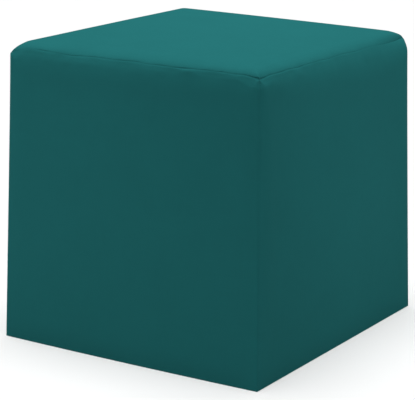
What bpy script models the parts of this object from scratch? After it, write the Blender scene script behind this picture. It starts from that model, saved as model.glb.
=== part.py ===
"""Cube pouf stool: a filled cube, about 0.43 m a side, in a cover sewn from six cloth panels.

Metres, +Z up. The pouf stands at Z = 0 on its base panel, centred on X = Y = 0, with its
front along -Y. The twelve seams form a frame that is a little wider at the base, where the
filling settles. Each panel is stretched between its four seams and puffed out by the
filling: it rises out of each seam in a rounded shoulder and then runs on with a low crown.
The filled body follows the cover from inside.
"""

import math
from collections import namedtuple

import bmesh
import bpy
from mathutils import Vector

# The frame of seams: its width runs along X and its depth along Y.
TOP_SEAM_WIDTH = 0.392
TOP_SEAM_DEPTH = 0.410
TOP_SEAM_HEIGHT = 0.410
BASE_SEAM_WIDTH = 0.4135
BASE_SEAM_DEPTH = 0.4385
BASE_SEAM_HEIGHT = 0.0012

# The cloth and the gaps that keep the pieces apart.
CLOTH_THICKNESS = 0.002
LAYER_GAP = 0.0006  # between a panel and the filled body under it
SEAM_TRIM = 0.0003  # what each panel keeps clear of its seam lines

# How far a panel stands out from its seams at the level of the top and of the base, and how
# much more it swells in its middle.
Puff = namedtuple("Puff", "rise_at_top rise_at_base crown")
PUFFS = {
    "top": Puff(rise_at_top=0.0080, rise_at_base=0.0080, crown=0.0020),
    "side": Puff(rise_at_top=0.0042, rise_at_base=0.0015, crown=0.0040),
    "base": Puff(rise_at_top=BASE_SEAM_HEIGHT, rise_at_base=BASE_SEAM_HEIGHT, crown=0.0),
}

# The shoulder by which a panel falls to one of its seams: how wide it is, and how much of
# the fall is left for its end.
Shoulder = namedtuple("Shoulder", "width power")
SHOULDERS = {
    ("top", "top"): Shoulder(width=0.028, power=3),
    ("side", "top"): Shoulder(width=0.016, power=2),
    ("side", "corner"): Shoulder(width=0.007, power=2),
    ("side", "base"): Shoulder(width=0.003, power=2),
    ("base", "base"): Shoulder(width=0.004, power=2),
}

# Where three panels meet at the top, the seams draw the corner in and down. The pull fades
# out over its reach, which is longer along the top seams than down the upright ones.
CORNER_DRAW_IN = 0.004
CORNER_DRAW_DOWN = 0.005
CORNER_REACH_ALONG = 0.024
CORNER_REACH_DOWN = 0.014
CORNER_FADE = 1.2

# Each panel faces out along an axis: 0 is X, 1 is Y and 2 is Z.
X, Y, Z = 0, 1, 2
Panel = namedtuple("Panel", "axis side")
PANELS = {
    "top_panel": Panel(Z, 1),
    "front_panel": Panel(Y, -1),
    "right_panel": Panel(X, 1),
    "back_panel": Panel(Y, 1),
    "left_panel": Panel(X, -1),
    "base_panel": Panel(Z, -1),
}

# Grid lines from a seam to the middle of a panel, as shares of that way.
GRID_LINES = (0.0, 0.0075, 0.0175, 0.035, 0.07, 0.13, 0.35, 1.0)
STEPS = len(GRID_LINES) - 1

# Mean sizes of the seam frame along X, Y and Z.
SPANS = (
    (TOP_SEAM_WIDTH + BASE_SEAM_WIDTH) / 2,
    (TOP_SEAM_DEPTH + BASE_SEAM_DEPTH) / 2,
    TOP_SEAM_HEIGHT - BASE_SEAM_HEIGHT,
)

CLOTH_COLOUR = (0.019, 0.181, 0.185, 1.0)
FILLED_COLOUR = (0.60, 0.58, 0.54, 1.0)


def between(low, high, share):
    return low + (high - low) * share


def kind(panel):
    """Which rows of the tables a panel uses."""
    if panel.axis != Z:
        return "side"
    return "top" if panel.side > 0 else "base"


def frame_point(u, v, w):
    """A point on the flat faces between the seams, from shares of -1 to 1 along X, Y and Z."""
    share = (1 + w) / 2
    return Vector(
        (
            u * between(BASE_SEAM_WIDTH, TOP_SEAM_WIDTH, share) / 2,
            v * between(BASE_SEAM_DEPTH, TOP_SEAM_DEPTH, share) / 2,
            between(BASE_SEAM_HEIGHT, TOP_SEAM_HEIGHT, share),
        )
    )


def outward(panel):
    """The way a panel faces: the sides lean in towards the top."""
    normal = Vector((0.0, 0.0, 0.0))
    if panel.axis == Z:
        normal.z = panel.side
        return normal
    lean = {
        X: (BASE_SEAM_WIDTH - TOP_SEAM_WIDTH) / 2,
        Y: (BASE_SEAM_DEPTH - TOP_SEAM_DEPTH) / 2,
    }[panel.axis]
    normal[panel.axis] = panel.side * SPANS[Z]
    normal.z = lean
    return normal.normalized()


def risen(panel, seam, distance):
    """The share of its rise that a panel has reached at a distance from one of its seams."""
    shoulder = SHOULDERS[kind(panel), seam]
    return 1 - (1 - min(distance / shoulder.width, 1)) ** shoulder.power


def swell(panel, shares):
    """How far the outside of a panel stands out from the flat face between its seams."""
    puff = PUFFS[kind(panel)]
    rise = between(puff.rise_at_base, puff.rise_at_top, (1 + shares[Z]) / 2)
    crown = puff.crown
    for axis in {X, Y, Z} - {panel.axis}:
        crown *= 1 - shares[axis] ** 2
        to_seam = (1 - abs(shares[axis])) * SPANS[axis] / 2
        if panel.axis == Z:
            seam = kind(panel)
        elif axis == Z:
            seam = "top" if shares[axis] > 0 else "base"
        else:
            seam = "corner"
        rise *= risen(panel, seam, to_seam)
    return rise + crown


def drawn_in(point):
    """Pull a point near one of the four top corners in and down."""
    side_x = math.copysign(1, point.x)
    side_y = math.copysign(1, point.y)
    away = point - frame_point(side_x, side_y, 1)
    reached = math.hypot(
        away.x / CORNER_REACH_ALONG, away.y / CORNER_REACH_ALONG, away.z / CORNER_REACH_DOWN
    )
    pull = max(1 - reached, 0) ** CORNER_FADE
    draw = Vector((side_x * CORNER_DRAW_IN, side_y * CORNER_DRAW_IN, CORNER_DRAW_DOWN))
    return point - pull * draw


def cover_point(panel, lattice, trim=0.0):
    """Where a point of the lattice cube lies on the outside of the cover."""
    shares = []
    for axis, place in enumerate(lattice):
        line = GRID_LINES[round((1 - abs(place)) * STEPS)]
        if axis != panel.axis:
            line = max(line, trim / (SPANS[axis] / 2))
        shares.append(math.copysign(1 - line, place))
    flat = frame_point(*shares)
    return drawn_in(flat + outward(panel) * swell(panel, shares))


def panel_of(face):
    """The panel that a face of the lattice cube belongs to."""
    normal = face.normal
    axis = max((X, Y, Z), key=lambda a: abs(normal[a]))
    return Panel(axis, 1 if normal[axis] > 0 else -1)


def lattice_cube():
    """A cube of side 2 with a square grid cut into each face."""
    cube = bmesh.new()
    bmesh.ops.create_cube(cube, size=2)
    bmesh.ops.subdivide_edges(cube, edges=cube.edges, cuts=2 * STEPS - 1, use_grid_fill=True)
    cube.normal_update()
    cube.verts.index_update()
    return cube


def add_object(name, shape, material, collection):
    """Turn a bmesh into a named object with smooth shading."""
    mesh = bpy.data.meshes.new(name)
    shape.to_mesh(mesh)
    shape.free()
    mesh.shade_smooth()
    mesh.materials.append(material)
    piece = bpy.data.objects.new(name, mesh)
    collection.objects.link(piece)
    return piece


def cover_skin():
    """Where each corner of the lattice lies on the cover's outside, and its way in per metre."""
    skin = lattice_cube()
    outside = {}
    for face in skin.faces:
        for vertex in face.verts:
            outside[vertex.index] = cover_point(panel_of(face), vertex.co)
    for vertex in skin.verts:
        vertex.co = outside[vertex.index]
    skin.normal_update()
    inward = {v.index: -v.normal * v.calc_shell_factor() for v in skin.verts}
    skin.free()
    return outside, inward


def cloth_panel(name, panel, inward, material, collection):
    """One cut panel of the cover: a curved sheet, mitred along its seams."""
    shape = lattice_cube()
    corner = shape.verts.layers.int.new("lattice corner")
    for vertex in shape.verts:
        vertex[corner] = vertex.index
    others = [face for face in shape.faces if panel_of(face) != panel]
    bmesh.ops.delete(shape, geom=others, context="FACES")
    for vertex in shape.verts:
        vertex.co = cover_point(panel, vertex.co, trim=SEAM_TRIM)
    extruded = bmesh.ops.extrude_face_region(shape, geom=list(shape.faces))
    for vertex in extruded["geom"]:
        if isinstance(vertex, bmesh.types.BMVert):
            vertex.co += inward[vertex[corner]] * CLOTH_THICKNESS
    bmesh.ops.recalc_face_normals(shape, faces=shape.faces)
    return add_object(name, shape, material, collection)


def filled_body(name, outside, inward, material, collection):
    """The filled cube inside the cover, with the cover's crowns, shoulders and seam lines."""
    shape = lattice_cube()
    for vertex in shape.verts:
        inset = CLOTH_THICKNESS + LAYER_GAP
        vertex.co = outside[vertex.index] + inward[vertex.index] * inset
    return add_object(name, shape, material, collection)


def plain_material(name, colour, roughness):
    material = bpy.data.materials.new(name)
    material.use_nodes = True
    shader = material.node_tree.nodes["Principled BSDF"]
    shader.inputs["Base Color"].default_value = colour
    shader.inputs["Roughness"].default_value = roughness
    shader.inputs["Metallic"].default_value = 0.0
    return material


def build():
    for old in list(bpy.data.objects):
        bpy.data.objects.remove(old, do_unlink=True)
    collection = bpy.data.collections.new("cube_pouf_stool")
    bpy.context.scene.collection.children.link(collection)
    filled = plain_material("filled body", FILLED_COLOUR, roughness=0.9)
    outside, inward = cover_skin()
    filled_body("filled_body", outside, inward, filled, collection)
    for name, panel in PANELS.items():
        cloth = plain_material(name.replace("_", " ") + " cloth", CLOTH_COLOUR, roughness=0.85)
        cloth_panel(name, panel, inward, cloth, collection)


build()
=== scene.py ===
# %% [markdown]
# # A cube pouf stool
#
# The pouf is a soft cube, about 43 cm a side: six panels of plain teal cloth, sewn edge to
# edge into a bag and filled until it stands by itself. What makes it look real is small. The
# panels swell a little between their seams, the cloth rolls over into each seam, the seams
# wander, and no two corners settle in the same way.
#
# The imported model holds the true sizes, so it is loaded first and never moved.

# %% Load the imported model
import math
from collections import namedtuple
from itertools import product

import bpy
from mathutils import Matrix, Vector, noise


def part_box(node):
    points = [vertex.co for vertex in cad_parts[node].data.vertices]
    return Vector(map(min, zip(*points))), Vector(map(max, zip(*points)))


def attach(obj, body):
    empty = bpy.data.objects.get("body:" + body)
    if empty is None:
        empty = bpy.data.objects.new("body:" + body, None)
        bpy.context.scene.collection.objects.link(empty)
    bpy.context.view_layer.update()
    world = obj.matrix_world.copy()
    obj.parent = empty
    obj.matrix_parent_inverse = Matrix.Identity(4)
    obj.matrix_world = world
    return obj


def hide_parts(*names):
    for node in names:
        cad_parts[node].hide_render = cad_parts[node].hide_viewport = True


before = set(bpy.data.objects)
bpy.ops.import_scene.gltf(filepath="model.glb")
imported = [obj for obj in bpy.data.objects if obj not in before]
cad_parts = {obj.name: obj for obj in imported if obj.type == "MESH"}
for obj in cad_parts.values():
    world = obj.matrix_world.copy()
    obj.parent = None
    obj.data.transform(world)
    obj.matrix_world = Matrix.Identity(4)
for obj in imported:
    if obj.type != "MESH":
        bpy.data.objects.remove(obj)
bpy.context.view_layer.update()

# %% [markdown]
# ## Working by script as by hand
#
# Operators act on whatever is selected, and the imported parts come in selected. So each step
# first picks its piece and nothing else. Vertices, edges and faces are then picked in code,
# by where they lie or how they face.

# %% Pick a piece
def pick(piece):
    """Make one piece the only selected and active one."""
    bpy.ops.object.select_all(action="DESELECT")
    piece.select_set(True)
    bpy.context.view_layer.objects.active = piece


def apply_modifier(piece, modifier):
    pick(piece)
    bpy.ops.object.modifier_apply(modifier=modifier.name)


# %% [markdown]
# ## The frame of seams
#
# The twelve seams are the pouf's skeleton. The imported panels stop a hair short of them, so
# the seam lines are read from the panels' boxes. The base is a little wider than the top,
# because the filling settles.

# %% Read the seam frame
X, Y, Z = 0, 1, 2
PANEL_TRIM = 0.0003  # how far a packed panel stops short of its seams
SETTLED_BASE = 0.0004  # how high the weight leaves the base seam above the floor

top_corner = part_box("top_panel")[1]
base_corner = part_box("base_panel")[1]
side_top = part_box("front_panel")[1].z
TOP_SEAM = Vector((top_corner.x + PANEL_TRIM, top_corner.y + PANEL_TRIM, side_top + PANEL_TRIM))
BASE_SEAM = Vector((base_corner.x + PANEL_TRIM, base_corner.y + PANEL_TRIM, SETTLED_BASE))
HALF_SPANS = (TOP_SEAM + BASE_SEAM) / 2
HALF_SPANS.z = (TOP_SEAM.z - BASE_SEAM.z) / 2
print("half spans of the seams in mm:", [round(1000 * half, 1) for half in HALF_SPANS])

# %% [markdown]
# ## How the corners settled
#
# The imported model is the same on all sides. A real filled cover isn't: the filling pushes
# each corner of the seams a millimetre or two its own way, and where three seams meet they
# draw the cloth in and down, or the filling pushes it out and up. So each corner has a row
# of its own, with where its top and base ends moved to, and how the seams draw its top.

# %% Table of the corners
Corner = namedtuple("Corner", "top_shift base_shift drawn_in drawn_down")
CORNERS = {
    (-1, -1): Corner((-0.0018, -0.001, 0.0), (0.0, -0.001), drawn_in=-0.0003, drawn_down=0.0062),
    (1, -1): Corner((0.0005, 0.0005, 0.0), (0.0, 0.0005), drawn_in=0.0015, drawn_down=0.0025),
    (1, 1): Corner((-0.0003, 0.0, -0.0034), (-0.001, -0.0005), drawn_in=-0.0004, drawn_down=-0.0012),
    (-1, 1): Corner((0.002, 0.0015, 0.0018), (0.0, 0.0), drawn_in=0.001, drawn_down=0.0),
}
FRONT_BULGE = 0.0025  # how far the front's base seam bows out in its middle

SEAM_CORNERS = {}
for (x, y), corner in CORNERS.items():
    top_end = Vector((x * TOP_SEAM.x, y * TOP_SEAM.y, TOP_SEAM.z))
    base_end = Vector((x * BASE_SEAM.x, y * BASE_SEAM.y, BASE_SEAM.z))
    SEAM_CORNERS[x, y, 1] = top_end + Vector(corner.top_shift)
    SEAM_CORNERS[x, y, -1] = base_end + Vector((*corner.base_shift, 0))


def seam_frame_point(u, v, w):
    """A point between the seams, from shares of -1 to 1 along X, Y and Z."""
    point = Vector()
    for (x, y, z), corner in SEAM_CORNERS.items():
        point += corner * ((1 + x * u) * (1 + y * v) * (1 + z * w) / 8)
    point.y -= FRONT_BULGE * max(-v, 0) * (1 - u * u) * (1 - w) / 2
    return point


heights = [round(1000 * SEAM_CORNERS[x, y, 1].z, 1) for x, y in CORNERS]
print("height at the top corners in mm:", heights)

# %% [markdown]
# The right side has a slouch of its own. All its top seam hangs a little, and towards the
# back it leans in too, so the shoulder grows from narrow at the front to wide at the back.

# %% Let the right side slouch
SLOUCH = 0.0068  # how far the right side's top seam leans in at the back
SLOUCH_DROP = 0.0022  # how far all of the seam hangs
SLOUCH_BACK_DROP = 0.0014  # how much more it hangs at the back
SLOUCH_REACH = 0.042  # how far below the seam, and in from it, both are felt
DROP_TOP_FADE = 1.8  # how much faster the drop fades on the top than on the side
CORNER_SHORTENING = 0.6  # how much less far down they are felt at the back corner itself
SHORTENING_POWER = 8  # the higher, the nearer to the back corner that starts
SLOUCH_FADE = 1.3
SLOUCH_GROWTH = 0.8  # below 1, the slouch grows faster near the front than near the back
SLOUCH_WIDENING = 0.010  # how much wider its shoulder is at the back than at the front
SLOUCH_FLATNESS = 0.25  # how much less it stands out below the seam at the back
SLOUCH_CRISPNESS = 0.65  # how much narrower the top's own shoulder is at the back corner
CRISP_FROM = 0.5  # where along the side that starts, as a share from its middle


def towards_back(v):
    """0 at the front corner of the right side, 1 at its back corner."""
    return ((1 + v) / 2) ** SLOUCH_GROWTH


def shortened(v):
    """How much of its reach the slouch keeps: all of it, but for the back corner."""
    return 1 - CORNER_SHORTENING * max(v, 0) ** SHORTENING_POWER


def slouched(point, shares):
    """Lean a point near the right side's top seam in, and let it hang."""
    u, v, w = shares
    below = (1 - w) * HALF_SPANS.z / shortened(v)
    inwards = (1 - u) * HALF_SPANS.x
    lean = SLOUCH * towards_back(v)
    lean *= max(1 - (below + inwards) / SLOUCH_REACH, 0) ** SLOUCH_FADE
    drop = SLOUCH_DROP + SLOUCH_BACK_DROP * max(v, 0)
    drop *= max(1 - (below + DROP_TOP_FADE * inwards) / SLOUCH_REACH, 0) ** SLOUCH_FADE
    return point - Vector((lean, 0, drop))


for v in (-1, 0, 1):
    print("slouch at", v, [round(1000 * part, 1) for part in slouched(Vector(), (1, v, 1))], "mm")

# %% [markdown]
# Each top corner is then drawn as its row says. The draw fades out with the distance from
# the corner, sooner down the upright seam than along the two top ones.

# %% Draw the top corners
DRAW_REACH = Vector((0.030, 0.030, 0.014))  # how far from a corner its draw is felt
DRAW_FADE = 1.05


def drawn(point):
    """Move a point near a top corner as the three seams there draw it."""
    moved = point.copy()
    for (x, y), corner in CORNERS.items():
        away = point - slouched(SEAM_CORNERS[x, y, 1], (x, y, 1))
        reached = Vector(a / reach for a, reach in zip(away, DRAW_REACH)).length
        draw = Vector((x * corner.drawn_in, y * corner.drawn_in, corner.drawn_down))
        moved -= draw * max(1 - reached, 0) ** DRAW_FADE
    return moved


for (x, y), corner in CORNERS.items():
    drawn_by = [round(1000 * part, 1) for part in (corner.drawn_in, corner.drawn_down)]
    print("top corner", (x, y), "is drawn in and down by mm:", drawn_by)

# %% [markdown]
# ## The six panels
#
# Each panel faces out along one axis. The tables say how far a panel stands out from its
# seams, how much more it swells in its middle, and how wide the shoulder is by which it
# falls to each seam. The top rolls over in a wide, soft shoulder that is steepest at its
# end. The upright seams and the base have tight ones, so the cube keeps its crisp outline.

# %% Tables of the panels
Panel = namedtuple("Panel", "axis side")
PANELS = {
    "top": Panel(Z, 1),
    "front": Panel(Y, -1),
    "right": Panel(X, 1),
    "back": Panel(Y, 1),
    "left": Panel(X, -1),
    "base": Panel(Z, -1),
}

Puff = namedtuple("Puff", "rise_at_top rise_at_base crown")
PUFFS = {
    "top": Puff(rise_at_top=0.0083, rise_at_base=0.0083, crown=0.0020),
    "side": Puff(rise_at_top=0.0042, rise_at_base=0.0003, crown=0.0040),
    "base": Puff(rise_at_top=SETTLED_BASE, rise_at_base=SETTLED_BASE, crown=0.0),
}

Shoulder = namedtuple("Shoulder", "width power")
SHOULDERS = {
    ("top", "top"): Shoulder(width=0.028, power=3.6),
    ("side", "top"): Shoulder(width=0.016, power=2),
    ("side", "corner"): Shoulder(width=0.006, power=2),
    ("side", "base"): Shoulder(width=0.002, power=2),
    ("base", "base"): Shoulder(width=0.004, power=2),
}


def kind(panel):
    """Which rows of the tables a panel uses."""
    if panel.axis != Z:
        return "side"
    return "top" if panel.side > 0 else "base"


def seams_near(panel, shares):
    """The nearer seam across each of a panel's two ways, and how far it is from a point."""
    for axis in (X, Y, Z):
        if axis == panel.axis:
            continue
        distance = (1 - abs(shares[axis])) * HALF_SPANS[axis]
        if panel.axis == Z:
            yield axis, kind(panel), distance
        elif axis == Z:
            yield axis, "top" if shares[axis] > 0 else "base", distance
        else:
            yield axis, "corner", distance


def panel_across(axis, shares):
    """The panel on the other side of the nearer seam along an axis."""
    return Panel(axis, 1 if shares[axis] > 0 else -1)


# %% [markdown]
# A panel is puffed out along the way that it faces. Its four corners needn't lie in one
# plane, so that way is worked out from the middles of its four edges.

# %% Which way each panel faces
def way_out(panel):
    """The way a panel faces in its middle: square to both ways across it."""
    ways_across = []
    for axis in {X, Y, Z} - {panel.axis}:
        ends = []
        for end in (-1, 1):
            shares = [0, 0, 0]
            shares[panel.axis] = panel.side
            shares[axis] = end
            ends.append(seam_frame_point(*shares))
        ways_across.append(ends[1] - ends[0])
    way = ways_across[0].cross(ways_across[1]).normalized()
    return way * math.copysign(1, way[panel.axis] * panel.side)


WAYS_OUT = {panel: way_out(panel) for panel in PANELS.values()}
for name, panel in PANELS.items():
    print(name, "faces", [round(part, 3) for part in WAYS_OUT[panel]])

# %% [markdown]
# No seam pulls evenly along its length, so several steps below need a number that changes
# along a seam only, and is the same on both its sides. A noise gives it, read at a place
# that moves along the seam and stays put across it.

# %% A noise along a seam
Sway = namedtuple("Sway", "amount length phase")
SEAM_APART = 2.7  # how far apart two seams lie in the noise


def sway_along(seam_axes, shares, sway):
    """A number around 0 that changes along the seam of two axes."""
    place = Vector((sway.phase, sway.phase, sway.phase))
    for axis in seam_axes:
        place[axis] += math.copysign(SEAM_APART, shares[axis])
    along = X + Y + Z - sum(seam_axes)
    place[along] = shares[along] * HALF_SPANS[along] / sway.length
    return sway.amount * noise.noise(place)


def fade_in(distance, reach):
    """0 up to a seam, 1 from its reach on, smooth at both ends."""
    share = min(max(distance / reach, 0), 1)
    return share * share * (3 - 2 * share)


# %% [markdown]
# Now the shape of a full panel can be worked out. It rises out of its seams by its
# shoulders and swells to its middle. Near a corner two shoulders meet. Their product would
# round the corner off, and the smaller of them would leave a hard ridge, so they are joined
# by a smooth minimum. The roll under the top seam is broad in some places and narrow in
# others, and under the front seam it sags towards the near corner.

# %% Fill the panels out
SHOULDER_SWAY = Sway(amount=0.7, length=0.020, phase=8.2)
FRONT_SAG = 0.32  # how much less the front stands out below its top seam, near the corner
SAG_START = -0.1  # where along the front the sag starts, as a share from its middle
SAG_LENGTH = 0.5
SAG_NARROWING = 0.3  # how much narrower the shoulder gets there
RIDGE = 10  # how sharply two shoulders meet in a corner
LEAST_RISEN = 1e-6  # keeps the smooth minimum from dividing by 0 on a seam


def shoulder_width(panel, axis, seam, shares, sag):
    """How wide the shoulder is by which a panel falls to a seam."""
    width = SHOULDERS[kind(panel), seam].width
    if panel.axis == Z:
        if axis == X and panel.side > 0 and shares[X] > 0:
            width *= 1 - SLOUCH_CRISPNESS * fade_in(shares[Y] - CRISP_FROM, 1 - CRISP_FROM)
        return width
    if seam != "top":
        return width
    if panel == PANELS["right"]:
        width += SLOUCH_WIDENING * towards_back(shares[Y])
        width *= shortened(shares[Y])
    return width * (1 + sway_along((panel.axis, axis), shares, SHOULDER_SWAY) - SAG_NARROWING * sag)


def swell(panel, shares):
    """How far a point of a panel stands out from its seams once the cover is full."""
    puff = PUFFS[kind(panel)]
    level = (1 + shares[Z]) / 2
    sag = fade_in(shares[X] - SAG_START, SAG_LENGTH) if panel == PANELS["front"] else 0
    rise = puff.rise_at_base + (puff.rise_at_top - puff.rise_at_base) * level
    rise *= 1 - FRONT_SAG * sag * level
    if panel == PANELS["right"]:
        rise *= 1 - SLOUCH_FLATNESS * towards_back(shares[Y]) * level
    crown = puff.crown
    steepness = -1
    for axis, seam, distance in seams_near(panel, shares):
        width = shoulder_width(panel, axis, seam, shares, sag)
        risen = 1 - (1 - min(distance / width, 1)) ** SHOULDERS[kind(panel), seam].power
        steepness += max(risen, LEAST_RISEN) ** -RIDGE
        crown *= 1 - shares[axis] ** 2
    return rise * steepness ** (-1 / RIDGE) + crown


def filled_out(panel, shares):
    """Where a point of a panel lies once the cover is full."""
    swelled = seam_frame_point(*shares) + WAYS_OUT[panel] * swell(panel, shares)
    return drawn(slouched(swelled, shares))


for name, panel in PANELS.items():
    middle = [0, 0, 0]
    middle[panel.axis] = panel.side
    print(name, "swells", round(1000 * swell(panel, middle), 1), "mm in its middle")

# %% [markdown]
# ## A cube of cloth
#
# The cover and the form for the simulation both start as a cube with a square grid on each
# face. Each vertex belongs to one panel. On a seam either one will do, because the tables
# give the same place for both.

# %% Make a cube of panels
def panel_facing(way):
    """The panel that faces most nearly a given way."""
    axis = max((X, Y, Z), key=lambda a: abs(way[a]))
    return panel_across(axis, way)


def panelled_cube(name, steps):
    """A cube of side 2 with a square grid on each face, and the panel of each vertex."""
    bpy.ops.object.select_all(action="DESELECT")
    bpy.ops.mesh.primitive_cube_add(size=2)
    cube = bpy.context.object
    cube.name = cube.data.name = name
    bpy.ops.object.mode_set(mode="EDIT")
    bpy.ops.mesh.subdivide(number_cuts=2 * steps - 1)
    bpy.ops.object.mode_set(mode="OBJECT")
    panel_at = {}
    for face in cube.data.polygons:
        for index in face.vertices:
            panel_at[index] = panel_facing(face.normal)
    print(name + ":", len(cube.data.vertices), "vertices")
    return cube, panel_at


# %% [markdown]
# ## Pressure in the cover
#
# The tables give the shape that the filling holds. The cloth over it has a life of its own:
# it is a touch longer beside a seam than the seam that holds it, and the filling presses it
# out between its seams. A cloth simulation works that out. It runs on a form with an even
# grid, because cloth behaves best on even squares, and how far each point moves is carried
# over to the finer cover. The seams and the base hold still.

# %% Pin the form where it is held
FORM_STEPS = 40  # grid steps from a seam to the middle of a panel
FIRMNESS = 0.3  # how firmly the filling holds the middle of a panel
FIRM_REACH = 0.06
SPARE_REACH = 0.035  # how far from a seam the cloth is longer than it need be
ON_THE_SEAM = 0.001


def hold_form(form, panel_at):
    """Give the form its shape and its two vertex groups. Return the place of each vertex."""
    held = form.vertex_groups.new(name="held")
    spare = form.vertex_groups.new(name="spare cloth")
    places = {}
    for vertex in form.data.vertices:
        panel = panel_at[vertex.index]
        shares = tuple(vertex.co)
        away = min(distance for _, _, distance in seams_near(panel, shares))
        hold = FIRMNESS * fade_in(away, FIRM_REACH)
        if away < ON_THE_SEAM or kind(panel) == "base":
            hold = 1.0
        held.add([vertex.index], hold, "REPLACE")
        spare.add([vertex.index], 1 - fade_in(away, SPARE_REACH), "REPLACE")
        places[vertex.index] = filled_out(panel, shares)
    for vertex in form.data.vertices:
        vertex.co = places[vertex.index]
    return places


# %% [markdown]
# The simulation has no gravity, because the filling carries the cloth. It runs for a few
# frames, and the shape at the last one is kept.

# %% Simulate the filled cloth
PRESSURE = 4.0
SPARE_CLOTH = 0.03  # how much longer the cloth is beside a seam
MOST_MOVE = 0.003  # a guard: no point may move farther
LEAST_MOVE = 1e-9  # keeps the guard from dividing by 0
LAST_FRAME = 20


def fill_with_pressure(form):
    """Run the cloth simulation on the form and keep its result."""
    cloth = form.modifiers.new("cloth", "CLOTH")
    settings = cloth.settings
    settings.quality = 5
    settings.mass = 0.15
    settings.tension_stiffness = 15
    settings.compression_stiffness = 15
    settings.shear_stiffness = 5
    settings.bending_stiffness = 0.05
    settings.use_pressure = True
    settings.uniform_pressure_force = PRESSURE
    settings.effector_weights.gravity = 0
    settings.vertex_group_mass = "held"
    settings.vertex_group_shrink = "spare cloth"
    settings.shrink_min = 0
    settings.shrink_max = -SPARE_CLOTH
    cloth.point_cache.frame_start = 1
    cloth.point_cache.frame_end = LAST_FRAME
    for number in range(1, LAST_FRAME + 1):
        bpy.context.scene.frame_set(number)
    apply_modifier(form, cloth)
    bpy.context.scene.frame_set(1)


def moves_under_pressure():
    """How far pressure moves each point of the form, by its place on the grid."""
    form, panel_at = panelled_cube("form", FORM_STEPS)
    keys = [tuple(round((part + 1) * FORM_STEPS) for part in v.co) for v in form.data.vertices]
    places = hold_form(form, panel_at)
    fill_with_pressure(form)
    moves = {}
    for key, vertex in zip(keys, form.data.vertices):
        move = vertex.co - places[vertex.index]
        moves[key] = move * min(1, MOST_MOVE / max(move.length, LEAST_MOVE))
    bpy.data.objects.remove(form)
    most = max(move.length for move in moves.values())
    mean = sum(move.length for move in moves.values()) / len(moves)
    print("moves under pressure in mm: mean", round(1000 * mean, 2), "most", round(1000 * most, 2))
    return moves


moves = moves_under_pressure()

# %% [markdown]
# The cover has a grid of its own, so each of its points takes its move from the four points
# of the form round it, the nearest ones most.

# %% Read the moves between grid points
def move_at(panel, shares):
    """How far pressure moves a point, from the points of the form's grid round it."""
    if not moves:
        return Vector()
    low = [0, 0, 0]
    part = [0.0, 0.0, 0.0]
    for axis in (X, Y, Z):
        steps = (shares[axis] + 1) * FORM_STEPS
        low[axis] = min(int(steps), 2 * FORM_STEPS - 1)
        part[axis] = steps - low[axis]
    low[panel.axis] = 2 * FORM_STEPS if panel.side > 0 else 0
    part[panel.axis] = 0.0
    move = Vector()
    for corner in product((0, 1), repeat=3):
        weight = math.prod(p if c else 1 - p for c, p in zip(corner, part))
        if weight:
            move += weight * moves[tuple(l + c for l, c in zip(low, corner))]
    return move


# %% [markdown]
# ## The sewn cover
#
# On the cover itself the grid lines crowd towards the seams, where the cloth bends most,
# and spread out in the middle of a panel. Each face gets a material number that tells its
# panel, so that the cover can be cut up along its seams at the end.

# %% Make the cover
STEPS = 46  # grid steps from a seam to the middle of a panel
SEAM_STEP = 0.0006  # the first step beside a seam, in metres
CROWDING = 2.0  # above 1, the steps grow from the seam to the middle


def grid_share(place, axis):
    """A share of -1 to 1 for a line of the even grid, crowded towards the seams."""
    step = 1 - abs(place)
    first = SEAM_STEP * STEPS / HALF_SPANS[axis]
    share = first * step + (1 - first) * step**CROWDING
    return math.copysign(1 - share, place)


cover, panel_at = panelled_cube("cover", STEPS)
panel_list = list(PANELS.values())
for face in cover.data.polygons:
    face.material_index = panel_list.index(panel_facing(face.normal))
shares_at = [tuple(grid_share(v.co[a], a) for a in (X, Y, Z)) for v in cover.data.vertices]
for vertex, shares in zip(cover.data.vertices, shares_at):
    vertex.co = seam_frame_point(*shares)

# %% [markdown]
# While the panels are still flat, as they were when they were cut, they are unwrapped by a
# cube projection in metres. The weave is drawn on this map later, so it follows the cloth
# of each panel round its shoulders and stops at its seams.

# %% Unwrap it flat, then fill it out
pick(cover)
bpy.ops.object.mode_set(mode="EDIT")
bpy.ops.mesh.select_all(action="SELECT")
bpy.ops.uv.cube_project(
    cube_size=1.0, correct_aspect=False, clip_to_bounds=False, scale_to_bounds=False
)
bpy.ops.object.mode_set(mode="OBJECT")

for vertex, shares in zip(cover.data.vertices, shares_at):
    panel = panel_at[vertex.index]
    vertex.co = filled_out(panel, shares) + move_at(panel, shares)
cover.data.shade_smooth()
print("top of the filled cover:", round(1000 * max(v.co.z for v in cover.data.vertices), 1), "mm")

# %% [markdown]
# ## The seams wander
#
# A seam is never a ruled line. It was sewn by hand and eye, and the filling pushes it, so
# it wanders up and down by about a millimetre, and takes the cloth beside it along. A few
# longer dips are given one by one, the negative ones upwards.

# %% Let the top seams wander
WANDERS = (
    Sway(amount=0.0017, length=0.042, phase=5.3),
    Sway(amount=0.0006, length=0.017, phase=11.6),
)
WANDER_REACH = 0.018  # how far from the seam the cloth goes along with it
Dip = namedtuple("Dip", "side along amount half_length")
DIPS = (
    Dip("front", along=-0.80, amount=-0.0010, half_length=0.12),
    Dip("front", along=-0.46, amount=0.0010, half_length=0.13),
    Dip("front", along=0.06, amount=-0.0009, half_length=0.10),
    Dip("front", along=0.34, amount=0.0011, half_length=0.16),
    Dip("right", along=-0.90, amount=0.0012, half_length=0.14),
    Dip("right", along=0.80, amount=0.0012, half_length=0.20),
)


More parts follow.
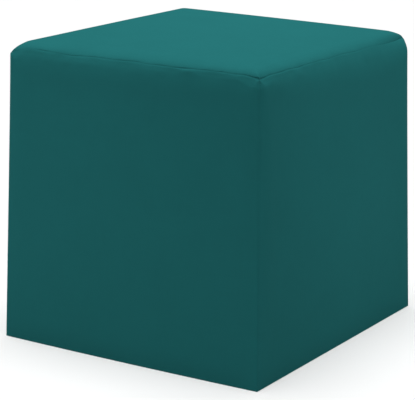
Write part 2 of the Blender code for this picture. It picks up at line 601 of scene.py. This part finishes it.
def wandered(panel, axis, shares):
    """How far the top seam along an axis of a panel wanders up."""
    rise = sum(sway_along((panel.axis, axis), shares, wander) for wander in WANDERS)
    for dip in DIPS:
        if PANELS[dip.side] in (panel, panel_across(axis, shares)):
            away = abs(shares[X + Y - PANELS[dip.side].axis] - dip.along)
            rise -= dip.amount * fade_in(dip.half_length - away, dip.half_length)
    return rise


for vertex, shares in zip(cover.data.vertices, shares_at):
    panel = panel_at[vertex.index]
    for axis, seam, distance in seams_near(panel, shares):
        if seam == "top" and distance < WANDER_REACH:
            fade = (1 - distance / WANDER_REACH) ** 2
            vertex.co.z += wandered(panel, axis, shares) * fade
for u in (-0.5, 0, 0.5):
    up_by = wandered(PANELS["front"], Z, (u, -1, 1))
    print("the front's top seam at", u, "wanders up by", round(1000 * up_by, 1), "mm")

# %% [markdown]
# ## The filling
#
# The cushion inside follows the cover all over, so it is a copy of the cover, drawn in by
# the cloth's thickness and a hair of air.

# %% Make the filling
CLOTH_THICKNESS = 0.0012
BODY_GAP = 0.0006  # the air between the cloth and the filling

pick(cover)
bpy.ops.object.duplicate()
filling = bpy.context.object
filling.name = filling.data.name = "filling"
bpy.ops.object.mode_set(mode="EDIT")
bpy.ops.mesh.select_all(action="SELECT")
bpy.ops.transform.shrink_fatten(value=-(CLOTH_THICKNESS + BODY_GAP), use_even_offset=True)
bpy.ops.object.mode_set(mode="OBJECT")
print("filling:", len(filling.data.polygons), [round(1000 * d, 1) for d in filling.dimensions])

# %% [markdown]
# ## Stitching
#
# The stitches pull the two panels into a narrow crack under the roll of the top. It is
# deeper in some places than in others, deepest where three seams meet at the near corner,
# and slack where the right side slouches. How far each vertex goes is kept on the mesh for
# now, because only the outside of the cloth has the crack, and the cloth has no thickness
# yet. Beside the stitches the cloth is painted darker, as painted shade of the seam's crease,
# strongest at the two front corners. How much is kept too, for the cloth's finish.

# %% Note how far the stitches pull
Groove = namedtuple("Groove", "depth width shade shade_reach")
# shade and shade_reach give the painted shade beside each seam: how dark, and how far out
GROOVES = {
    "top": Groove(depth=0.0008, width=0.0020, shade=0.16, shade_reach=0.0065),
    "corner": Groove(depth=0.0001, width=0.0020, shade=0.03, shade_reach=0.004),
    "base": Groove(depth=0.0, width=0.0012, shade=0.05, shade_reach=0.002),
}
STITCH_SWAY = Sway(amount=1.1, length=0.012, phase=40.4)
SHADE_SWAY = Sway(amount=0.9, length=0.022, phase=23.1)
SLOUCH_SLACK = 0.9  # how much less the stitches pull where the right side slouches
NOTCH = 1.8  # how much more they pull at the near corner
NOTCH_REACH = 0.010
NOTCH_WIDENING = 0.8  # how much wider the crack is there
# the next two give the top seams more painted shade at the two front corners
NOTCH_SHADE = 1.0  # how much darker the top seams are at the two front corners
NOTCH_SHADE_REACH = 0.024


def stitch_pull(panel, shares):
    """How the stitches move a point, and how much painted shade darkens the cloth there."""
    move = Vector()
    darker = 0.0
    for axis, seam, distance in seams_near(panel, shares):
        groove = GROOVES[seam]
        if distance > max((1 + NOTCH_WIDENING) * groove.width, groove.shade_reach):
            continue
        other = panel_across(axis, shares)
        along = X + Y + Z - panel.axis - axis
        to_end = (1 - abs(shares[along])) * HALF_SPANS[along]
        pull = 1 + sway_along((panel.axis, axis), shares, STITCH_SWAY)
        shade = 1 + sway_along((panel.axis, axis), shares, SHADE_SWAY)
        way_in = -(WAYS_OUT[panel] + WAYS_OUT[other])
        width = groove.width
        if seam == "top":
            way_in.z = 0
            if PANELS["right"] in (panel, other):
                slack = SLOUCH_SLACK * towards_back(shares[Y])
                pull *= 1 - slack
                shade *= 1 - slack
            if shares[Y] < 0:
                shade *= 1 + NOTCH_SHADE * (1 - fade_in(to_end, NOTCH_SHADE_REACH))
            if shares[X] > 0 > shares[Y]:
                notch = 1 - fade_in(to_end, NOTCH_REACH)
                pull *= 1 + NOTCH * notch
                width *= 1 + NOTCH_WIDENING * notch
        near = max(1 - distance / width, 0) ** 2
        move += way_in.normalized() * (groove.depth * pull * near)
        # painted shade: the cloth beside the seam is darkened
        darker = max(darker, groove.shade * shade * max(1 - distance / groove.shade_reach, 0))
    return move, darker


# the painted shade beside the seams is kept on the mesh for the cloth's finish
cover.data.attributes.new("stitches", "FLOAT_VECTOR", "POINT")
cover.data.attributes.new("painted_seam_shade", "FLOAT", "POINT")
stitches = cover.data.attributes["stitches"].data
painted_seam_shade = cover.data.attributes["painted_seam_shade"].data
for vertex, shares in zip(cover.data.vertices, shares_at):
    move, darker = stitch_pull(panel_at[vertex.index], shares)
    stitches[vertex.index].vector = move
    painted_seam_shade[vertex.index].value = darker
print("deepest stitch:", round(1000 * max(s.vector.length for s in stitches), 2), "mm")

# %% [markdown]
# ## Cloth with a thickness
#
# One round of subdivision smooths the cover. The seams are creased, so it doesn't round
# them off. Then the cloth is given its thickness inwards, which mitres the panels where
# they meet, and the outside is pulled in along the stitches.

# %% Smooth the cover
panels_at_edge = {}
for face in cover.data.polygons:
    for key in face.edge_keys:
        panels_at_edge.setdefault(key, set()).add(face.material_index)
crease = cover.data.attributes.new("crease_edge", "FLOAT", "EDGE")
for edge in cover.data.edges:
    crease.data[edge.index].value = 1.0 if len(panels_at_edge[edge.key]) > 1 else 0.0
rounder = cover.modifiers.new("rounder", "SUBSURF")
rounder.levels = 1
rounder.render_levels = 1
apply_modifier(cover, rounder)
outside_count = len(cover.data.vertices)
print("outside of the cover:", outside_count, "vertices")

# %% Give it thickness and pull the stitches in
layer = cover.modifiers.new("thickness", "SOLIDIFY")
layer.thickness = CLOTH_THICKNESS
layer.offset = -1
layer.use_even_offset = True
apply_modifier(cover, layer)
pulls = cover.data.attributes["stitches"].data
for vertex in cover.data.vertices[:outside_count]:
    vertex.co += Vector(pulls[vertex.index].vector)
cover.data.attributes.remove(cover.data.attributes["stitches"])
print("cloth:", len(cover.data.polygons), "faces on both sides")

# %% [markdown]
# The cover is cut along its seams into the six panels that a maker would cut, and the rim
# of each is closed between its outside and its inside.

# %% Cut it into its panels
for name in PANELS:
    cover.data.materials.append(None)
pick(cover)
bpy.ops.object.mode_set(mode="EDIT")
bpy.ops.mesh.separate(type="MATERIAL")
bpy.ops.object.mode_set(mode="OBJECT")

middle = Vector((0, 0, TOP_SEAM.z / 2))
cloths = {}
for piece in list(bpy.context.selected_objects):
    place = sum((vertex.co for vertex in piece.data.vertices), Vector()) / len(piece.data.vertices)
    name = next(n for n in PANELS if PANELS[n] == panel_facing(place - middle))
    piece.name = piece.data.name = name + "_panel_cloth"
    cloths[name] = piece
print("panels cut:", ", ".join(sorted(cloths)))

# %% Close the rims
bpy.context.tool_settings.mesh_select_mode = (False, True, False)
for name, piece in cloths.items():
    pick(piece)
    bpy.ops.object.mode_set(mode="EDIT")
    bpy.ops.mesh.select_all(action="DESELECT")
    bpy.ops.mesh.select_non_manifold()
    bpy.ops.mesh.bridge_edge_loops()
    bpy.ops.object.mode_set(mode="OBJECT")
    print(name, "panel:", len(piece.data.polygons), "faces")

# %% [markdown]
# ## Finishes as sums
#
# A finish is a sum of small patterns, so it is written as one. `Wire` wraps the output of a
# node, and an expression on wires adds the Math nodes that work it out. `Finish` holds a
# material, and its `node` method adds any other node: its settings are set first, and then
# its sockets, each to a value or a wire.

# %% Tools for the finishes
class Wire:
    """The output of a node, to be used in sums."""

    def __init__(self, finish, output):
        self.finish = finish
        self.output = output

    def math(self, operation, *values):
        return self.finish.node("ShaderNodeMath", {"operation": operation}, dict(enumerate(values)))

    def __add__(self, other):
        return self.math("ADD", self, other)

    def __sub__(self, other):
        return self.math("SUBTRACT", self, other)

    def __rsub__(self, other):
        return self.math("SUBTRACT", other, self)

    def __mul__(self, other):
        return self.math("MULTIPLY", self, other)

    def __abs__(self):
        return self.math("ABSOLUTE", self)

    def sine(self):
        return self.math("SINE", self)

    __radd__ = __add__
    __rmul__ = __mul__


class Finish:
    """A material and the nodes that make it."""

    def __init__(self, name):
        self.material = bpy.data.materials.new(name)
        self.material.use_nodes = True
        self.tree = self.material.node_tree
        self.shader = self.tree.nodes["Principled BSDF"]

    def feed(self, socket, value):
        if isinstance(value, Wire):
            self.tree.links.new(value.output, socket)
        else:
            socket.default_value = value

    def node(self, node_type, settings={}, sockets={}, output=0):
        """Add a node and return one of its outputs as a wire."""
        node = self.tree.nodes.new(node_type)
        for name, value in settings.items():
            setattr(node, name, value)
        for key, value in sockets.items():
            self.feed(node.inputs[key], value)
        return Wire(self, node.outputs[output])

    def noise(self, place, size, detail=2.0):
        """A soft pattern of patches of a size in metres, around 0.5."""
        return self.node(
            "ShaderNodeTexNoise", {}, {"Vector": place, "Scale": 1 / size, "Detail": detail}
        )

    def blend(self, share, first, second):
        """A colour between two colours."""
        return self.node(
            "ShaderNodeMix", {"data_type": "RGBA"}, {0: share, 6: first, 7: second}, output=2
        )

    def set(self, **inputs):
        """Set inputs of the shader. A name's underscores stand for spaces."""
        for name, value in inputs.items():
            self.feed(self.shader.inputs[name.replace("_", " ")], value)


# %% [markdown]
# ## The teal cloth
#
# The cover is a plain, matt, closely woven cloth, dyed a deep teal. From where one sees the
# whole pouf its threads run together. Close up there is a plain weave, each thread over one
# and under the next, with no two threads quite alike. The dye takes a little more in some
# patches than in others. The weave is two waves on the unwrapped map, one across each set
# of threads: their product is above 0 where one set is on top and below 0 where the other
# is, so its size without the sign is the height of the threads. Everything here is faint,
# because the cloth looks smooth.

# %% Weave
THREAD = 0.0008  # from one thread to the next, in metres
WEAVE_HEIGHT = 0.00002

cloth = Finish("teal cloth")
on_cloth = cloth.node("ShaderNodeUVMap", {"uv_map": "UVMap"})
across = cloth.node("ShaderNodeSeparateXYZ", {}, {0: on_cloth}, output=0)
along = cloth.node("ShaderNodeSeparateXYZ", {}, {0: on_cloth}, output=1)
weave = (across * (math.pi / THREAD)).sine() * (along * (math.pi / THREAD)).sine()
threads = abs(weave)
print("threads to the centimetre:", round(0.01 / THREAD, 1))

# %% [markdown]
# A thread is a long thin patch of the same tone, so it is a noise whose place is stretched
# along the thread. Both sets of threads add their tones to the patches of the dye. All
# four noises hover around a middle tone, and their shares add up to 1.

# %% Colour
DEEP_TEAL = (0.0128, 0.1217, 0.1242, 1)
LIGHT_TEAL = (0.0141, 0.1339, 0.1366, 1)
# the next colour is painted shade: the teal is darkened towards it along the seams
PAINTED_SHADE_TEAL = (0.0035, 0.036, 0.038, 1)
STRETCH = 60  # how many times longer than wide a thread's patches of tone are
THREAD_PATCH = 1.3 * THREAD  # how wide they are
PATCH = 0.060
CLOUD = 0.014
PATCH_SHARE = 0.35
CLOUD_SHARE = 0.25
THREAD_SHARE = 0.2
MIDDLE_TONE = 0.5
CONTRAST = 2.2

on_piece = cloth.node("ShaderNodeTexCoord", {}, {}, output="Object")
long_ways = cloth.node("ShaderNodeCombineXYZ", {}, {0: across, 1: along * (1 / STRETCH)})
cross_ways = cloth.node("ShaderNodeCombineXYZ", {}, {0: across * (1 / STRETCH), 1: along})
warp = cloth.noise(long_ways, THREAD_PATCH, detail=0.0)
weft = cloth.noise(cross_ways, THREAD_PATCH, detail=0.0)
patches = cloth.noise(on_piece, PATCH)
clouds = cloth.noise(on_piece, CLOUD)
tone = PATCH_SHARE * patches + CLOUD_SHARE * clouds + THREAD_SHARE * warp + THREAD_SHARE * weft
tone = MIDDLE_TONE + CONTRAST * (tone - MIDDLE_TONE)
teal = cloth.blend(tone, DEEP_TEAL, LIGHT_TEAL)
# painted shade: the teal is darkened along the seams as much as the seam attribute says
painted_seam_darkening = cloth.node("ShaderNodeAttribute", {"attribute_name": "painted_seam_shade"}, {}, output="Fac")
teal = cloth.blend(painted_seam_darkening, teal, PAINTED_SHADE_TEAL)

# %% [markdown]
# The finish is matt. It has no sheen, and hardly any gloss, because light goes in between
# the threads. The tops of the threads are a little smoother than the gaps between them.

# %% Surface
GAP_ROUGHNESS = 0.94
THREAD_POLISH = 0.06  # how much smoother the tops of the threads are

bump = cloth.node(
    "ShaderNodeBump", {}, {"Height": threads, "Strength": 1.0, "Distance": WEAVE_HEIGHT}
)
cloth.set(Base_Color=teal, Roughness=GAP_ROUGHNESS - THREAD_POLISH * threads, Normal=bump)
cloth.set(Specular_IOR_Level=0.02, Sheen_Weight=0.0)
print("teal cloth:", len(cloth.tree.nodes), "nodes")

# %% [markdown]
# ## The filling's finish
#
# The filling is seat foam: off-white, dull, and full of fine pores, each with painted
# shade in it. It shows only where the cover is open, but a part that uses it without its
# cover needs it finished.

# %% Foam
PORE = 0.0018  # from one pore to the next, in metres
PORE_DEPTH = 0.0003
# how strongly each pore is darkened with painted shade
PORE_DARKNESS = 0.35
FOAM_PATCH = 0.050
CREAM = (0.66, 0.63, 0.55, 1)
DULL_CREAM = (0.56, 0.54, 0.50, 1)
PAINTED_PORE_SHADE = (0.30, 0.28, 0.24, 1)
FOAM_ROUGHNESS = 0.95
DULL_POLISH = 0.1  # how much smoother the duller patches are

foam = Finish("filling foam")
on_foam = foam.node("ShaderNodeTexCoord", {}, {}, output="Object")
pores = foam.node("ShaderNodeTexVoronoi", {}, {"Vector": on_foam, "Scale": 1 / PORE})
duller = foam.noise(on_foam, FOAM_PATCH)
foam_colour = foam.blend(duller, CREAM, DULL_CREAM)
# painted shade: each pore is darkened towards the pore shade colour
foam_colour = foam.blend(PORE_DARKNESS * (1 - pores), foam_colour, PAINTED_PORE_SHADE)
pitted = foam.node(
    "ShaderNodeBump", {}, {"Height": pores, "Strength": 1.0, "Distance": PORE_DEPTH}
)
foam.set(Base_Color=foam_colour, Roughness=FOAM_ROUGHNESS - DULL_POLISH * duller, Normal=pitted)
foam.set(Specular_IOR_Level=0.2)
print("filling foam:", len(foam.tree.nodes), "nodes")

# %% [markdown]
# ## Whose place each piece takes
#
# Each new piece rides on the pouf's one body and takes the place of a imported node. Each
# panel is a stretched sheet of cloth. It was cut to the widest span of its seams, with a
# seam allowance turned in on every side.

SEAM_ALLOWANCE = 0.012


def cut_size(panel):
    """The width and length a panel was cut to."""
    corners = [place for key, place in SEAM_CORNERS.items() if key[panel.axis] == panel.side]
    size = []
    for axis in (a for a in (X, Y, Z) if a != panel.axis):
        span = max(place[axis] for place in corners) - min(place[axis] for place in corners)
        size.append(span + 2 * SEAM_ALLOWANCE)
    return tuple(size)


for name, piece in cloths.items():
    piece.data.materials.clear()
    piece.data.materials.append(cloth.material)
    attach(piece, "root")
    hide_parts(name + "_panel")
    flat = cut_size(PANELS[name])
    print(name, "panel was cut to", [round(1000 * side) for side in flat], "mm")

filling.data.materials.clear()
filling.data.materials.append(foam.material)
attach(filling, "root")
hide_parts("filled_body")
print("declared:", len(cloths), "panels and the filling")

# %% [markdown]
# ## Where the camera stands
#
# The pouf is seen from in front and well to the right, so that two sides show, and from
# about 60 cm above its middle. A long lens from two and a half metres off keeps its edges
# nearly parallel.

# %% Camera
VIEW_TURN = math.radians(32.71)
VIEW_RISE = math.radians(14.30)
VIEW_ROLL = math.radians(0.25)
VIEW_DISTANCE = 2.492
VIEW_LENS = 151.82  # in millimetres
VIEW_MIDDLE = 0.215  # the height that the view turns about
VIEW_RIGHTWARDS = -0.0094
VIEW_UPWARDS = -0.0335

back = Vector((
    math.sin(VIEW_TURN) * math.cos(VIEW_RISE),
    -math.cos(VIEW_TURN) * math.cos(VIEW_RISE),
    math.sin(VIEW_RISE),
))
right = Vector((math.cos(VIEW_TURN), math.sin(VIEW_TURN), 0))
up = back.cross(right)
target = Vector((0, 0, VIEW_MIDDLE)) + VIEW_RIGHTWARDS * right + VIEW_UPWARDS * up
level = Matrix((right, up, back)).transposed()

camera_data = bpy.data.cameras.new("camera")
camera_data.lens = VIEW_LENS
camera = bpy.data.objects.new("camera", camera_data)
bpy.context.scene.collection.objects.link(camera)
camera.matrix_world = Matrix.Translation(target + back * VIEW_DISTANCE) @ (
    level @ Matrix.Rotation(VIEW_ROLL, 3, "Z")
).to_4x4()
bpy.context.scene.camera = camera
print("camera at", [round(part, 3) for part in camera.matrix_world.translation])

# %% [markdown]
# ## A plain pale studio
#
# The pouf stands on a plain pale floor that runs on to the horizon. The background is
# white, but gives no light itself, so all the light comes from the lamps, and the sides are
# lit by what the floor throws back.

# %% Floor and background
FLOOR_SIZE = 40
FLOOR_COLOUR = (0.735, 0.735, 0.735, 1)

bpy.ops.object.select_all(action="DESELECT")
bpy.ops.mesh.primitive_plane_add(size=FLOOR_SIZE, location=(0, 0, 0))
floor = bpy.context.object
floor.name = "floor"
floor_finish = Finish("pale floor")
floor_finish.set(Base_Color=FLOOR_COLOUR, Roughness=1.0, Specular_IOR_Level=0.0)
floor.data.materials.append(floor_finish.material)

scene = bpy.context.scene
scene.view_settings.view_transform = "Standard"
world = bpy.data.worlds.new("studio")
scene.world = world
world.use_nodes = True
world.node_tree.nodes["Background"].inputs["Color"].default_value = (1, 1, 1, 1)
world.node_tree.nodes["Background"].inputs["Strength"].default_value = 1.0
world.cycles_visibility.diffuse = False
world.cycles_visibility.glossy = False
print("floor:", FLOOR_SIZE, "m a side")

# %% [markdown]
# A wide, soft light hangs overhead, a touch to the left, and makes the soft shadow round the
# pouf. A second one with it throws no shadow, which keeps that shadow pale. Weak spots
# fill in from the left, from the right and from low down, so that the sides are lightest at
# their outer edges and deepen towards the near corner, and one lifts the back of the top.

# %% Lamps
Overhead = namedtuple("Overhead", "strength softness shadow")
OVERHEADS = {
    "overhead": Overhead(strength=2.59, softness=42, shadow=True),
    "shadowless overhead": Overhead(strength=1.73, softness=18, shadow=False),
}
OVERHEAD_PLACE = (0, 0, 3)
OVERHEAD_TILT = math.radians(1)
Fill = namedtuple("Fill", "place aim power spread blend")
FILLS = {
    "left fill": Fill((-0.75, -0.95, 0.46), (-0.17, -0.20, 0.30), power=5.6, spread=48, blend=1),
    "right fill": Fill((0.95, 0.14, 0.54), (0.21, 0.08, 0.38), power=3.6, spread=47, blend=0.5),
    "low fill": Fill((0.75, 0.04, 0.03), (0.21, 0.07, -0.10), power=1.0, spread=70, blend=1),
    "back fill": Fill((-0.35, 0.55, 1.25), (-0.05, 0.14, 0.42), power=3.5, spread=34, blend=1),
}
FILL_SIZE = 0.12


def add_lamp(name, data, place, way_back):
    """Hang a lamp so that it shines against a given way."""
    lamp = bpy.data.objects.new(name, data)
    lamp.location = place
    lamp.rotation_mode = "QUATERNION"
    lamp.rotation_quaternion = way_back.to_track_quat("Z", "Y")
    scene.collection.objects.link(lamp)
    print(name, "at", [round(part, 2) for part in place])


for name, overhead in OVERHEADS.items():
    sun = bpy.data.lights.new(name, "SUN")
    sun.energy = overhead.strength
    sun.angle = math.radians(overhead.softness)
    sun.use_shadow = overhead.shadow
    straight_up = Vector((0, 0, 1))
    add_lamp(name, sun, OVERHEAD_PLACE, straight_up - math.sin(OVERHEAD_TILT) * right)
for name, fill in FILLS.items():
    spot = bpy.data.lights.new(name, "SPOT")
    spot.energy = fill.power
    spot.spot_size = math.radians(fill.spread)
    spot.spot_blend = fill.blend
    spot.shadow_soft_size = FILL_SIZE
    add_lamp(name, spot, fill.place, Vector(fill.place) - Vector(fill.aim))
